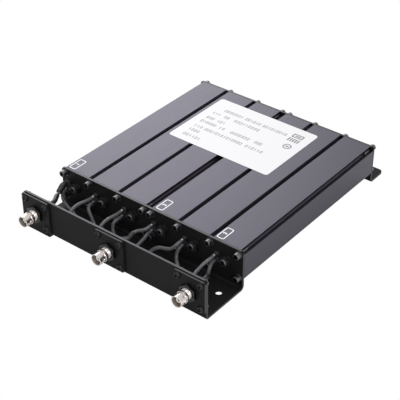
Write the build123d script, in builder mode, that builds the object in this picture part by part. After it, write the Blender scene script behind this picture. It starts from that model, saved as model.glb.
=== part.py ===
"""Six-cavity duplexer: two aluminium extrusions, folded brackets, a wiring bay and three bayonet jacks.

Frame: the origin is the centre of the four mounting holes, on the mounting plane.
+X runs along the width, +Z points up, and the jacks face -Y. All sizes are millimetres.
"""

import os
from math import radians, sqrt, tan

from build123d import *

os.makedirs("parts", exist_ok=True)

# Body: two extrusions side by side, each with a row of cavities
cavities_per_side = 3
body_width = 190.0
body_height = 30.0
extrusion_length = 186.0
cavity_width = 26.6
cavity_height = 26.0
cavity_corner = 3.0

# Screw ports of the extrusions, open channels that take the end screws
port_inset = 4.0
port_bore = 2.7
port_neck = 2.2
port_mouth = 4.0
corner_mouth = 4.8
port_boss = 6.2

# Folded brackets
sheet = 2.0
stand_off = 7.0
wiring_bay = 45.0
panel_rise = 0.2
panel_bend = 0.6
plate_bend = 2.0
top_corner = 3.0
foot_width = 25.5
base_lip = 14.0
window_corner = 5.0
window_rise = 6.0
rear_flange = 20.0
flange_corner = 4.0

# Mounting holes
hole_diameter = 5.5
hole_spacing_x = 167.0
front_hole_gap = 15.0
rear_hole_gap = 12.0

# End screws, M3 socket heads with washers
screw_core = 2.6
screw_clear = 3.4
screw_grip = 8.0
head_diameter = 5.5
head_height = 3.0
washer_diameter = 6.6
washer_height = 1.6
socket_flats = 2.5
socket_depth = 1.5

# Quarter-wave resonators, each a tube on a flanged base
resonator_diameter = 10.0
resonator_bore = 8.2
resonator_length = 128.0
resonator_base = 11.0
seat_diameter = 14.0
seat_height = 3.0
spigot_diameter = 9.4
spigot_proud = 1.0
running_gap = 0.05
fixed_gap = 0.1

# Tuning rods, plungers and lock nuts
thread_diameter = 6.0
thread_length = 24.0
stem_diameter = 4.0
rod_proud = 5.2
rod_socket_flats = 3.0
rod_socket_depth = 2.4
rod_chamfer = 0.5
collar_diameter = 5.4
collar_height = 1.2
lock_nut_flats = 9.0
lock_nut_height = 2.5
plunger_length = 36.0
plunger_wall = 1.0
plunger_hub = 7.0
plunger_out = 15.0

# Coupling taps, two in each cavity, each a ferrule with a wire loop
tap_offset = 9.0
tap_pitch = 5.0
tap_flange_diameter = 4.4
tap_flange_height = 1.2
tap_ferrule_diameter = 3.6
tap_reach = 4.0
tap_spigot_diameter = 2.8
loop_wire = 1.2
loop_depth = 22.0
loop_rise = 4.4
loop_bend = 1.5

# Connector plates
plate_size = 30.0
plate_thickness = 2.0
plate_corner = 2.0
plate_screw_pitch = 22.0
jack_height = 21.3
panel_hole = 15.0

# Bayonet jacks
jack_reach = 15.0
barrel_diameter = 9.6
barrel_bore = 8.1
barrel_depth = 8.5
barrel_length = 6.0
barrel_chamfer = 0.3
groove_diameter = 8.5
groove_width = 0.6
ring_diameter = 10.2
ring_width = 2.7
jack_thread = 9.5
jack_flange_diameter = 13.6
jack_tail_diameter = 9.2
jack_tail_length = 6.5
crimp_diameter = 6.6
crimp_length = 6.0
lug_diameter = 2.0
lug_setback = 4.9
lug_span = 11.0
insulator_diameter = 4.8
insulator_setback = 0.6
contact_diameter = 2.2
contact_setback = 1.2
contact_bore = 1.4
contact_bore_depth = 5.0
jack_nut_flats = 14.0
jack_nut_height = 3.0

# Plate screws and their nuts
plate_screw_core = 2.9
plate_screw_head = 6.0
plate_screw_head_height = 2.0
plate_nut_flats = 5.5
plate_nut_height = 2.4
plate_screw_tail = 1.0

# Coaxial cables and their sleeves
cable_diameter = 2.8
cable_pair_pitch = 2.9
sleeve_wall = 0.7
sleeve_overlap = 5.0
sleeve_tail = 2.5
tap_sleeve_diameter = 5.6

# Paper label
label_width = 106.0
label_length = 78.0
label_corner = 3.0
label_thickness = 0.2
label_x = -5.0
label_setback = 93.6

# Places that follow from the sizes
half_width = body_width / 2
end_to_end = extrusion_length + 2 * sheet
hole_spacing_y = end_to_end + front_hole_gap + rear_hole_gap
front_face = front_hole_gap - hole_spacing_y / 2
rear_face = front_face + end_to_end
inner_front = front_face + sheet
inner_rear = rear_face - sheet
panel_face = front_face - wiring_bay
panel_back = panel_face + sheet
body_top = stand_off + body_height
panel_top = body_top + panel_rise
axis_height = stand_off + body_height / 2
cavity_pitch = half_width / cavities_per_side
cavity_count = 2 * cavities_per_side
cavity_x = [(i + 0.5) * cavity_pitch - half_width for i in range(cavity_count)]
foot_inner = half_width - foot_width
plate_face = panel_face - plate_thickness
rim = plate_face - jack_reach
tail_end = panel_back + jack_tail_length
crimp_end = tail_end + crimp_length
jack_spacing = (body_width - plate_size) / 2
jack_x = [-jack_spacing, 0.0, jack_spacing]
tap_face = front_face - tap_reach
tap_x = [x - tap_offset for x in cavity_x]
upper_tap = axis_height + tap_pitch / 2
lower_tap = axis_height - tap_pitch / 2


def face_plane(y):
    """Plane across the body at the given y, facing -Y, with local x and y along X and Z."""
    return Plane.XZ.offset(-y)


def save(part, name):
    """Labels a finished part and writes its file."""
    part.label = name
    export_step(part, f"parts/{name}.step")


def turned(x, z, outline):
    """Adds a solid of (radius, y) points, turned about the line along Y through x and z."""
    with BuildSketch(Plane((x, 0, z), x_dir=(1, 0, 0), z_dir=(0, 0, 1))) as half_section:
        Polygon(*outline, align=None)
    revolve(half_section.sketch, axis=Axis((x, 0, z), (0, 1, 0)))


def hexagon(x, z, flats):
    """Adds a hexagon to the sketch, measured across its flats."""
    with Locations((x, z)):
        RegularPolygon(flats / 2, 6, major_radius=False, rotation=30)


def nuts(places, y, flats, height, bore):
    """Adds hexagonal nuts whose front faces lie at y."""
    with BuildSketch(face_plane(y)) as outlines:
        for x, z in places:
            hexagon(x, z, flats)
        with Locations(*places):
            Circle(bore / 2, mode=Mode.SUBTRACT)
    extrude(outlines.sketch, amount=-height)


# Places of the fasteners and taps on the end faces, as (x, z)
def half_ports(side):
    """Ports of one extrusion as (x, z, slot angle, slot reach, slot mouth); side is -1 or 1."""
    ports = []
    for up in (1, -1):
        z = axis_height + up * (body_height / 2 - port_inset)
        straight = 90 - 90 * up
        for k in range(1, cavities_per_side):
            ports.append((side * k * cavity_pitch, z, straight, port_inset, port_mouth))
        for end, outward in ((0.0, -side), (side * half_width, side)):
            x = end - outward * port_inset
            reach = port_inset * sqrt(2) - corner_mouth / 2
            ports.append((x, z, straight - 45 * outward * up, reach, corner_mouth))
    return ports


screw_places = [(x, z) for x, z, *slot in half_ports(-1) + half_ports(1)]
tap_places = [(x, z) for x in tap_x for z in (upper_tap, lower_tap)]
rod_places = [(x, axis_height) for x in cavity_x]
jack_places = [(x, jack_height) for x in jack_x]
plate_screw_places = [
    (x + i * plate_screw_pitch / 2, jack_height + k * plate_screw_pitch / 2)
    for x in jack_x
    for i in (-1, 1)
    for k in (-1, 1)
]


def end_plate_holes(y):
    """Cuts the clearance holes of the end screws into the plate whose front face lies at y."""
    with BuildSketch(face_plane(y)) as holes:
        with Locations(*screw_places):
            Circle(screw_clear / 2)
    extrude(holes.sketch, amount=-sheet, mode=Mode.SUBTRACT)


def mounting_holes(y):
    """Cuts the pair of mounting holes at the given y through a foot or a flange."""
    with BuildSketch(Plane.XY) as holes:
        with Locations((-hole_spacing_x / 2, y), (hole_spacing_x / 2, y)):
            Circle(hole_diameter / 2)
    extrude(holes.sketch, amount=sheet, mode=Mode.SUBTRACT)


# Front bracket: end plate, base and connector panel, folded from one sheet
with BuildPart() as front_bracket:
    with BuildSketch(Plane.YZ) as front_profile:
        Polygon(
            (inner_front, body_top),
            (inner_front, 0),
            (panel_face, 0),
            (panel_face, panel_top),
            (panel_back, panel_top),
            (panel_back, sheet),
            (front_face, sheet),
            (front_face, body_top),
            align=None,
        )
        folds = front_profile.vertices()
        fillet(folds.sort_by_distance((panel_face, 0))[0], panel_bend + sheet)
        folds = front_profile.vertices()
        fillet(folds.sort_by_distance((panel_back, sheet))[0], panel_bend)
        folds = front_profile.vertices()
        fillet(folds.sort_by_distance((inner_front, 0))[0], plate_bend + sheet)
        folds = front_profile.vertices()
        fillet(folds.sort_by_distance((front_face, sheet))[0], plate_bend)
    extrude(amount=half_width, both=True)
    tops = front_bracket.edges().filter_by(Axis.Y).group_by(Axis.Z)
    fillet(tops[-1] + tops[-2], top_corner)
    with BuildSketch(Plane.XY) as window:
        with Locations((0, panel_face - sheet)):
            Rectangle(2 * foot_inner, wiring_bay - base_lip + sheet, align=(Align.CENTER, Align.MIN))
        fillet(window.vertices().group_by(Axis.Y)[-1], window_corner)
    extrude(amount=window_rise, mode=Mode.SUBTRACT)
    end_plate_holes(front_face)
    with BuildSketch(face_plane(front_face)):
        with Locations(*rod_places):
            Circle(spigot_diameter / 2 + fixed_gap)
        with Locations(*tap_places):
            Circle(tap_spigot_diameter / 2 + fixed_gap)
    extrude(amount=-sheet, mode=Mode.SUBTRACT)
    with BuildSketch(face_plane(panel_face)):
        with Locations(*jack_places):
            Circle(panel_hole / 2)
        with Locations(*plate_screw_places):
            Circle(screw_clear / 2)
    extrude(amount=-sheet, mode=Mode.SUBTRACT)
    mounting_holes(-hole_spacing_y / 2)
save(front_bracket.part, "front_bracket")


# Rear bracket: end plate with a mounting flange
with BuildPart() as rear_bracket:
    with BuildSketch(Plane.YZ) as rear_profile:
        Polygon(
            (inner_rear, body_top),
            (inner_rear, 0),
            (rear_face + rear_flange, 0),
            (rear_face + rear_flange, sheet),
            (rear_face, sheet),
            (rear_face, body_top),
            align=None,
        )
        folds = rear_profile.vertices()
        fillet(folds.sort_by_distance((inner_rear, 0))[0], plate_bend + sheet)
        folds = rear_profile.vertices()
        fillet(folds.sort_by_distance((rear_face, sheet))[0], plate_bend)
    extrude(amount=half_width, both=True)
    fillet(rear_bracket.edges().filter_by(Axis.Y).group_by(Axis.Z)[-1], top_corner)
    fillet(rear_bracket.edges().filter_by(Axis.Z).group_by(Axis.Y)[-1], flange_corner)
    end_plate_holes(inner_rear)
    mounting_holes(hole_spacing_y / 2)
save(rear_bracket.part, "rear_bracket")


# Extrusions: three cavities with a screw port over each wall, the corner ports turned outwards
for side, name in ((-1, "left_extrusion"), (1, "right_extrusion")):
    ports = half_ports(side)
    cells = [((k + 0.5) * side * cavity_pitch, axis_height) for k in range(cavities_per_side)]
    with BuildPart() as extrusion:
        with BuildSketch(face_plane(inner_front)):
            with Locations((side * half_width / 2, axis_height)):
                Rectangle(half_width, body_height)
            with Locations(*cells):
                RectangleRounded(cavity_width, cavity_height, cavity_corner, mode=Mode.SUBTRACT)
            with Locations(*[(x, z) for x, z, *slot in ports]):
                Circle(port_boss / 2)
                Circle(port_bore / 2, mode=Mode.SUBTRACT)
            for x, z, angle, reach, mouth in ports:
                with Locations(Location((x, z, 0), (0, 0, angle))):
                    Polygon(
                        (-port_neck / 2, 0),
                        (port_neck / 2, 0),
                        (mouth / 2, reach),
                        (mouth / 2, reach + mouth),
                        (-mouth / 2, reach + mouth),
                        (-mouth / 2, reach),
                        align=None,
                        mode=Mode.SUBTRACT,
                    )
        extrude(amount=-extrusion_length)
    save(extrusion.part, name)


# End screws and their washers; facing is 1 at the front end and -1 at the rear
def end_screws(washer_y, facing):
    """Adds the socket screws of one end, whose washers' outer faces lie at washer_y."""
    head_y = washer_y - facing * head_height
    with BuildSketch(face_plane(head_y)) as heads:
        with Locations(*screw_places):
            Circle(head_diameter / 2)
    extrude(heads.sketch, amount=-facing * head_height)
    with BuildSketch(face_plane(head_y)) as sockets:
        for x, z in screw_places:
            hexagon(x, z, socket_flats)
    extrude(sockets.sketch, amount=-facing * socket_depth, mode=Mode.SUBTRACT)
    with BuildSketch(face_plane(washer_y)) as cores:
        with Locations(*screw_places):
            Circle(screw_core / 2)
    extrude(cores.sketch, amount=-facing * (washer_height + sheet + screw_grip))


def end_washers(washer_y, facing):
    """Adds the washers of one end, whose outer faces lie at washer_y."""
    with BuildSketch(face_plane(washer_y)) as rings:
        with Locations(*screw_places):
            Circle(washer_diameter / 2)
            Circle(screw_clear / 2, mode=Mode.SUBTRACT)
    extrude(rings.sketch, amount=-facing * washer_height)


for name, plate_y, facing in (("front_end_screws", front_face, 1), ("rear_end_screws", rear_face, -1)):
    washer_y = plate_y - facing * washer_height
    with BuildPart() as screws:
        end_screws(washer_y, facing)
    with BuildPart() as washers:
        end_washers(washer_y, facing)
    save(Compound(children=[screws.part, washers.part]), name)


# Resonators, plungers, tuning rods and coupling taps, one set to a cavity
thread_bore = thread_diameter / 2 + running_gap
open_end = inner_front + resonator_length
plunger_end = open_end + plunger_out
hub_start = plunger_end - plunger_hub
plunger_radius = resonator_bore / 2 - running_gap
rod_tip = front_face - rod_proud
loop_start = inner_front - sheet / 2

for i, x in enumerate(cavity_x, start=1):
    with BuildPart() as resonator:
        turned(
            x,
            axis_height,
            [
                (thread_bore, front_face - spigot_proud),
                (spigot_diameter / 2, front_face - spigot_proud),
                (spigot_diameter / 2, inner_front),
                (seat_diameter / 2, inner_front),
                (seat_diameter / 2, inner_front + seat_height),
                (resonator_diameter / 2, inner_front + seat_height),
                (resonator_diameter / 2, open_end),
                (resonator_bore / 2, open_end),
                (resonator_bore / 2, inner_front + resonator_base),
                (thread_bore, inner_front + resonator_base),
            ],
        )
    save(resonator.part, f"resonator_{i}")

    with BuildPart() as plunger:
        turned(
            x,
            axis_height,
            [
                (plunger_radius - plunger_wall, plunger_end - plunger_length),
                (plunger_radius, plunger_end - plunger_length),
                (plunger_radius, plunger_end),
                (stem_diameter / 2 + running_gap, plunger_end),
                (stem_diameter / 2 + running_gap, hub_start),
                (plunger_radius - plunger_wall, hub_start),
            ],
        )
    save(plunger.part, f"tuning_plunger_{i}")

    with BuildPart() as rod:
        turned(
            x,
            axis_height,
            [
                (0, rod_tip),
                (thread_diameter / 2 - rod_chamfer, rod_tip),
                (thread_diameter / 2, rod_tip + rod_chamfer),
                (thread_diameter / 2, rod_tip + thread_length),
                (stem_diameter / 2, rod_tip + thread_length),
                (stem_diameter / 2, hub_start - running_gap - collar_height),
                (collar_diameter / 2, hub_start - running_gap - collar_height),
                (collar_diameter / 2, hub_start - running_gap),
                (stem_diameter / 2, hub_start - running_gap),
                (stem_diameter / 2, plunger_end + running_gap),
                (collar_diameter / 2, plunger_end + running_gap),
                (collar_diameter / 2, plunger_end + running_gap + collar_height),
                (0, plunger_end + running_gap + collar_height),
            ],
        )
        with BuildSketch(face_plane(rod_tip)):
            hexagon(x, axis_height, rod_socket_flats)
        extrude(amount=-rod_socket_depth, mode=Mode.SUBTRACT)
    save(rod.part, f"tuning_rod_{i}")

    with BuildPart() as taps:
        for up in (1, -1):
            z = axis_height + up * tap_pitch / 2
            turned(
                x - tap_offset,
                z,
                [
                    (0, tap_face),
                    (tap_ferrule_diameter / 2, tap_face),
                    (tap_ferrule_diameter / 2, front_face - tap_flange_height),
                    (tap_flange_diameter / 2, front_face - tap_flange_height),
                    (tap_flange_diameter / 2, front_face),
                    (tap_spigot_diameter / 2, front_face),
                    (tap_spigot_diameter / 2, inner_front),
                    (0, inner_front),
                ],
            )
            with BuildLine(Plane.YZ.offset(x - tap_offset)) as loop:
                FilletPolyline(
                    (loop_start, z),
                    (inner_front + loop_depth, z),
                    (inner_front + loop_depth, z + up * loop_rise),
                    (inner_front, z + up * loop_rise),
                    radius=loop_bend,
                )
            with BuildSketch(Plane(loop.line @ 0, z_dir=loop.line % 0)):
                Circle(loop_wire / 2)
            sweep(path=loop.line)
    save(taps.part, f"coupling_taps_{i}")

with BuildPart() as lock_nuts:
    lock_nut_face = front_face - spigot_proud - lock_nut_height
    nuts(rod_places, lock_nut_face, lock_nut_flats, lock_nut_height, 2 * thread_bore)
save(lock_nuts.part, "tuning_lock_nuts")


# Connector plates, jacks and what holds them
thread_clear = jack_thread / 2 + fixed_gap
insulator_end = tail_end - jack_tail_length / 4
contact_end = tail_end

for i, x in enumerate(jack_x, start=1):
    with BuildPart() as plate:
        with BuildSketch(face_plane(plate_face)):
            with Locations((x, jack_height)):
                RectangleRounded(plate_size, plate_size, plate_corner)
                Circle(thread_clear, mode=Mode.SUBTRACT)
                with GridLocations(plate_screw_pitch, plate_screw_pitch, 2, 2):
                    Circle(screw_clear / 2, mode=Mode.SUBTRACT)
        extrude(amount=-plate_thickness)
    save(plate.part, f"connector_plate_{i}")

    with BuildPart() as jack:
        bore_radius = insulator_diameter / 2 + fixed_gap
        turned(
            x,
            jack_height,
            [
                (barrel_bore / 2, rim),
                (barrel_diameter / 2 - barrel_chamfer, rim),
                (barrel_diameter / 2, rim + barrel_chamfer),
                (barrel_diameter / 2, rim + barrel_length),
                (groove_diameter / 2, rim + barrel_length),
                (groove_diameter / 2, rim + barrel_length + groove_width),
                (ring_diameter / 2, rim + barrel_length + groove_width),
                (ring_diameter / 2, rim + barrel_length + groove_width + ring_width),
                (jack_thread / 2, rim + barrel_length + groove_width + ring_width),
                (jack_thread / 2, panel_face),
                (jack_flange_diameter / 2, panel_face),
                (jack_flange_diameter / 2, panel_back),
                (jack_tail_diameter / 2, panel_back),
                (jack_tail_diameter / 2, tail_end),
                (crimp_diameter / 2, tail_end),
                (crimp_diameter / 2, crimp_end),
                (0, crimp_end),
                (0, contact_end),
                (bore_radius, contact_end),
                (bore_radius, rim + barrel_depth),
                (barrel_bore / 2, rim + barrel_depth),
            ],
        )
        wall = (barrel_diameter + barrel_bore) / 4
        with BuildSketch(Plane.YZ.offset(x - lug_span / 2)):
            with Locations((rim + lug_setback, jack_height)):
                Circle(lug_diameter / 2)
        extrude(amount=lug_span / 2 - wall)
        with BuildSketch(Plane.YZ.offset(x + lug_span / 2)):
            with Locations((rim + lug_setback, jack_height)):
                Circle(lug_diameter / 2)
        extrude(amount=wall - lug_span / 2)
    save(jack.part, f"jack_body_{i}")

    with BuildPart() as insulator:
        turned(
            x,
            jack_height,
            [
                (contact_diameter / 2 + running_gap, rim + insulator_setback),
                (insulator_diameter / 2, rim + insulator_setback),
                (insulator_diameter / 2, insulator_end),
                (contact_diameter / 2 + running_gap, insulator_end),
            ],
        )
    save(insulator.part, f"insulator_{i}")

    with BuildPart() as contact:
        turned(
            x,
            jack_height,
            [
                (contact_bore / 2, rim + contact_setback),
                (contact_diameter / 2, rim + contact_setback),
                (contact_diameter / 2, contact_end),
                (0, contact_end),
                (0, rim + contact_setback + contact_bore_depth),
                (contact_bore / 2, rim + contact_setback + contact_bore_depth),
            ],
        )
    save(contact.part, f"centre_contact_{i}")

with BuildPart() as jack_nuts:
    nuts(jack_places, plate_face - jack_nut_height, jack_nut_flats, jack_nut_height, 2 * thread_clear)
save(jack_nuts.part, "jack_nuts")

with BuildPart() as plate_screws:
    with BuildSketch(face_plane(plate_face - plate_screw_head_height)):
        with Locations(*plate_screw_places):
            Circle(plate_screw_head / 2)
    extrude(amount=-plate_screw_head_height)
    with BuildSketch(face_plane(plate_face)):
        with Locations(*plate_screw_places):
            Circle(plate_screw_core / 2)
    extrude(amount=-(plate_thickness + sheet + plate_nut_height + plate_screw_tail))
save(plate_screws.part, "plate_screws")

with BuildPart() as plate_nuts:
    plate_nut_bore = plate_screw_core + 2 * running_gap
    nuts(plate_screw_places, panel_back, plate_nut_flats, plate_nut_height, plate_nut_bore)
save(plate_nuts.part, "plate_nuts")


# Cables of the wiring bay; a point is (x, distance ahead of the end plate, z)
pair = cable_pair_pitch / 2
crimp_ahead = front_face - crimp_end
cables = {
    "cable_port_1": [
        (tap_x[0], tap_reach, upper_tap),
        (tap_x[0], 10.8, upper_tap),
        (-85.0, 16.8, 22.6),
        (jack_x[0], 23.0, jack_height),
        (jack_x[0], crimp_ahead, jack_height),
    ],
    "cable_1_to_2": [
        (tap_x[0], tap_reach, lower_tap),
        (tap_x[0], 11.1, lower_tap),
        (-86.0, 16.7, 15.4),
        (-78.4, 20.1, 9.4),
        (-67.6, 22.9, 6.2),
        (-60.8, 29.9, 6.4),
        (-59.6, 36.1, 11.8),
        (-59.2, 36.3, 19.6),
        (-58.6, 30.7, 24.9),
        (tap_x[1], 17.1, upper_tap),
        (tap_x[1], tap_reach, upper_tap),
    ],
    "cable_2_to_3": [
        (tap_x[1], tap_reach, lower_tap),
        (tap_x[1], 11.3, lower_tap),
        (-54.2, 16.9, 15.2),
        (-46.4, 20.3, 9.4),
        (-35.8, 22.7, 6.4),
        (-29.2, 29.7, 6.6),
        (-28.4, 35.9, 12.0),
        (-28.0, 36.1, 19.8),
        (-27.2, 30.5, 25.0),
        (tap_x[2], 16.9, upper_tap),
        (tap_x[2], tap_reach, upper_tap),
    ],
    "cable_3_to_port_2": [
        (tap_x[2], tap_reach, lower_tap),
        (tap_x[2], 9.9, lower_tap),
        (-22.2, 14.9, 15.4),
        (-15.2, 17.3, 11.6),
        (-7.8, 17.4, 12.2),
        (-3.2, 19.7, 17.4),
        (-pair, 24.7, jack_height),
        (-pair, crimp_ahead, jack_height),
    ],
    "cable_4_to_port_2": [
        (tap_x[3], tap_reach, upper_tap),
        (tap_x[3], 9.5, upper_tap),
        (2.4, 15.9, 24.4),
        (pair, 24.3, jack_height),
        (pair, crimp_ahead, jack_height),
    ],
    "cable_4_to_5": [
        (tap_x[3], tap_reach, lower_tap),
        (tap_x[3], 11.3, lower_tap),
        (5.9, 18.9, 15.4),
        (6.2, 26.1, 9.2),
        (10.8, 31.9, 5.6),
        (18.0, 31.1, 6.6),
        (22.2, 25.1, 11.2),
        (26.4, 19.1, 17.2),
        (33.4, 15.5, 21.6),
        (tap_x[4], 9.7, upper_tap),
        (tap_x[4], tap_reach, upper_tap),
    ],
    "cable_5_to_6": [
        (tap_x[4], tap_reach, lower_tap),
        (tap_x[4], 11.1, lower_tap),
        (40.8, 16.5, 15.0),
        (48.6, 19.9, 9.2),
        (59.2, 22.7, 6.2),
        (66.2, 29.3, 6.6),
        (67.4, 35.3, 12.0),
        (67.4, 35.5, 19.8),
        (67.8, 30.1, 24.9),
        (tap_x[5], 16.9, upper_tap),
        (tap_x[5], tap_reach, upper_tap),
    ],
    "cable_6_to_port_3": [
        (tap_x[5], tap_reach, lower_tap),
        (tap_x[5], 8.9, lower_tap),
        (71.4, 13.5, 16.6),
        (75.4, 17.5, 15.0),
        (79.0, 20.9, 17.6),
        (jack_x[2], 25.5, jack_height),
        (jack_x[2], crimp_ahead, jack_height),
    ],
}


def corner_radii(route):
    """Radius of the arc at each corner of a route, from its shorter run and its turn."""
    points = [Vector(*point) for point in route]
    runs = [after - before for before, after in zip(points, points[1:])]
    radii = []
    for arriving, leaving in zip(runs, runs[1:]):
        shorter = min(arriving.length, leaving.length)
        half_turn = radians(arriving.get_angle(leaving) / 2)
        radii.append(0.45 * shorter / tan(half_turn))
    return radii


def cable_path(route):
    """The line along a route, straight runs joined by tangent arcs."""
    with BuildLine() as path:
        FilletPolyline(*route, radius=corner_radii(route))
    return path.wires()[0]


for name, points in cables.items():
    route = [(x, front_face - ahead, z) for x, ahead, z in points]
    path = cable_path(route)
    with BuildPart() as cable:
        with BuildSketch(Plane(path @ 0, z_dir=path % 0)) as section:
            Circle(cable_diameter / 2)
        sweep(path=path)
    save(cable.part, name)
    drawn = section.sketch.area * path.length
    print(name, "length", round(path.length, 1), "radii", [round(r, 1) for r in corner_radii(route)])
    print("volume over section times length", round(cable.part.volume / drawn, 4))


# Sleeves shrunk over the crimped ends of the jacks
sleeve_start = crimp_end - sleeve_overlap
sleeve_bore = crimp_diameter / 2 + fixed_gap
neck_bore = cable_diameter / 2 + fixed_gap
for i, x in enumerate(jack_x, start=1):
    neck_shift = pair if x == 0 else 0
    with BuildPart() as sleeve:
        with BuildSketch(face_plane(sleeve_start)):
            with Locations((x, jack_height)):
                Circle(sleeve_bore + sleeve_wall)
                Circle(sleeve_bore, mode=Mode.SUBTRACT)
        extrude(amount=-sleeve_overlap)
        with BuildSketch(face_plane(crimp_end)):
            with Locations((x, jack_height)):
                Circle(sleeve_bore + sleeve_wall)
                with Locations((-neck_shift, 0), (neck_shift, 0)):
                    Circle(neck_bore, mode=Mode.SUBTRACT)
        extrude(amount=-sleeve_tail)
    save(sleeve.part, f"jack_sleeve_{i}")

# Sleeve over the first cable, on the stretch that leaves the tap
with BuildPart() as tap_sleeve:
    first_path = cable_path([(x, front_face - ahead, z) for x, ahead, z in cables["cable_port_1"]])
    stretch = Wire(first_path.order_edges()[:2])
    with BuildSketch(Plane(stretch @ 0, z_dir=stretch % 0)):
        Circle(tap_sleeve_diameter / 2)
        Circle(neck_bore, mode=Mode.SUBTRACT)
    sweep(path=stretch)
save(tap_sleeve.part, "tap_sleeve")


# Label on the top face
with BuildPart() as label:
    with BuildSketch(Plane.XY.offset(body_top)):
        with Locations((label_x, inner_front + label_setback + label_length / 2)):
            RectangleRounded(label_width, label_length, label_corner)
    extrude(amount=label_thickness)
save(label.part, "label")
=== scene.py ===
"""Dresses the six-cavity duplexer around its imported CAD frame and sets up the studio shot.

Lengths are in metres, in the frame of the CAD model: +X along the width, +Z up, jacks towards -Y.
Places come from the boxes of the CAD nodes, and a piece that replaces a node keeps its form.
"""

import functools
import logging
import math
import random
from dataclasses import dataclass
from enum import Enum

import bmesh
import bpy
from bmesh.types import BMEdge, BMesh, BMFace, BMVert
from mathutils import Matrix, Vector

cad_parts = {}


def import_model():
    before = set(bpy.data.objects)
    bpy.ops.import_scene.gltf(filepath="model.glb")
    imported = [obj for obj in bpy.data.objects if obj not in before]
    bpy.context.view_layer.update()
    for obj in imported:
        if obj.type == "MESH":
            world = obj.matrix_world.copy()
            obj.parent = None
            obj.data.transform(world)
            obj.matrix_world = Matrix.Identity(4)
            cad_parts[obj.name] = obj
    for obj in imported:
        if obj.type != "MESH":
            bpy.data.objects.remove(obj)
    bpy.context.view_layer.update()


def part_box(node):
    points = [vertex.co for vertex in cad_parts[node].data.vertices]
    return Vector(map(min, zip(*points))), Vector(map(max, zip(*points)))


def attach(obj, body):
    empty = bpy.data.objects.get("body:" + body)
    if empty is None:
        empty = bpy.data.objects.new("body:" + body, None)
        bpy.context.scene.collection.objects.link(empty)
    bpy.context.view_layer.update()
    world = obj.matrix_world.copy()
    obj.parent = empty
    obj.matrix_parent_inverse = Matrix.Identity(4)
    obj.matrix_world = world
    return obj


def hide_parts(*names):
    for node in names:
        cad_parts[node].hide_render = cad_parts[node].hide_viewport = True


MM = 0.001
MERGE = 2e-6
FULL_TURN = 2 * math.pi
ROOT = "root"
Y_AXIS = (0.0, 1.0, 0.0)
WHITE = (1.0, 1.0, 1.0, 1.0)
ROUND_STEPS = 48
TURN_SEED = 7
# Shares of a thread's pitch, of a nut's flats and its bore, and of a normal that faces an axis
THREAD_DEPTH = 0.55
NUT_FACE = 0.96
NUT_LEAD = 0.12
FACING = 0.9
Couple = tuple[float, float]
Triple = tuple[float, float, float]
Profile = list[Couple]
Box = tuple[Vector, Vector]

log = logging.getLogger("duplexer")


# Materials


def linear(colour: str) -> tuple[float, float, float, float]:
    """Turns an sRGB hex colour into linear RGBA.

    Args:
        colour: The colour as #rrggbb.

    Returns:
        Red, green and blue in linear light, and an alpha of 1.
    """
    shares = [int(colour[i : i + 2], 16) / 255 for i in (1, 3, 5)]
    light = [s / 12.92 if s <= 0.04045 else ((s + 0.055) / 1.055) ** 2.4 for s in shares]
    return (light[0], light[1], light[2], 1.0)


def add_node(tree: bpy.types.NodeTree, kind: str, inputs: dict | None = None, **settings) -> bpy.types.Node:
    """Adds a node to a tree with its settings, its values and its links.

    Args:
        tree: The node tree of a material or of the world.
        kind: Blender's name for the type of node.
        inputs: A value, or another node's output, for each named or numbered input.
        settings: The node's own properties.

    Returns:
        The new node.
    """
    node = tree.nodes.new(kind)
    for name, value in settings.items():
        setattr(node, name, value)
    for socket, value in (inputs or {}).items():
        if isinstance(value, bpy.types.NodeSocket):
            tree.links.new(value, node.inputs[socket])
        else:
            node.inputs[socket].default_value = value
    return node


NOISE = {"Detail": 3.0, "Roughness": 0.55}
NOISE_RANGE = {"From Min": 0.3, "From Max": 0.7}


class Grain(Enum):
    """How a surface was made, as the stretch of its pattern along X, Y and Z."""

    EVEN = (1.0, 1.0, 1.0)
    DRAWN = (1.0, 0.015, 1.0)
    TURNED = (0.12, 1.0, 0.12)


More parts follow.
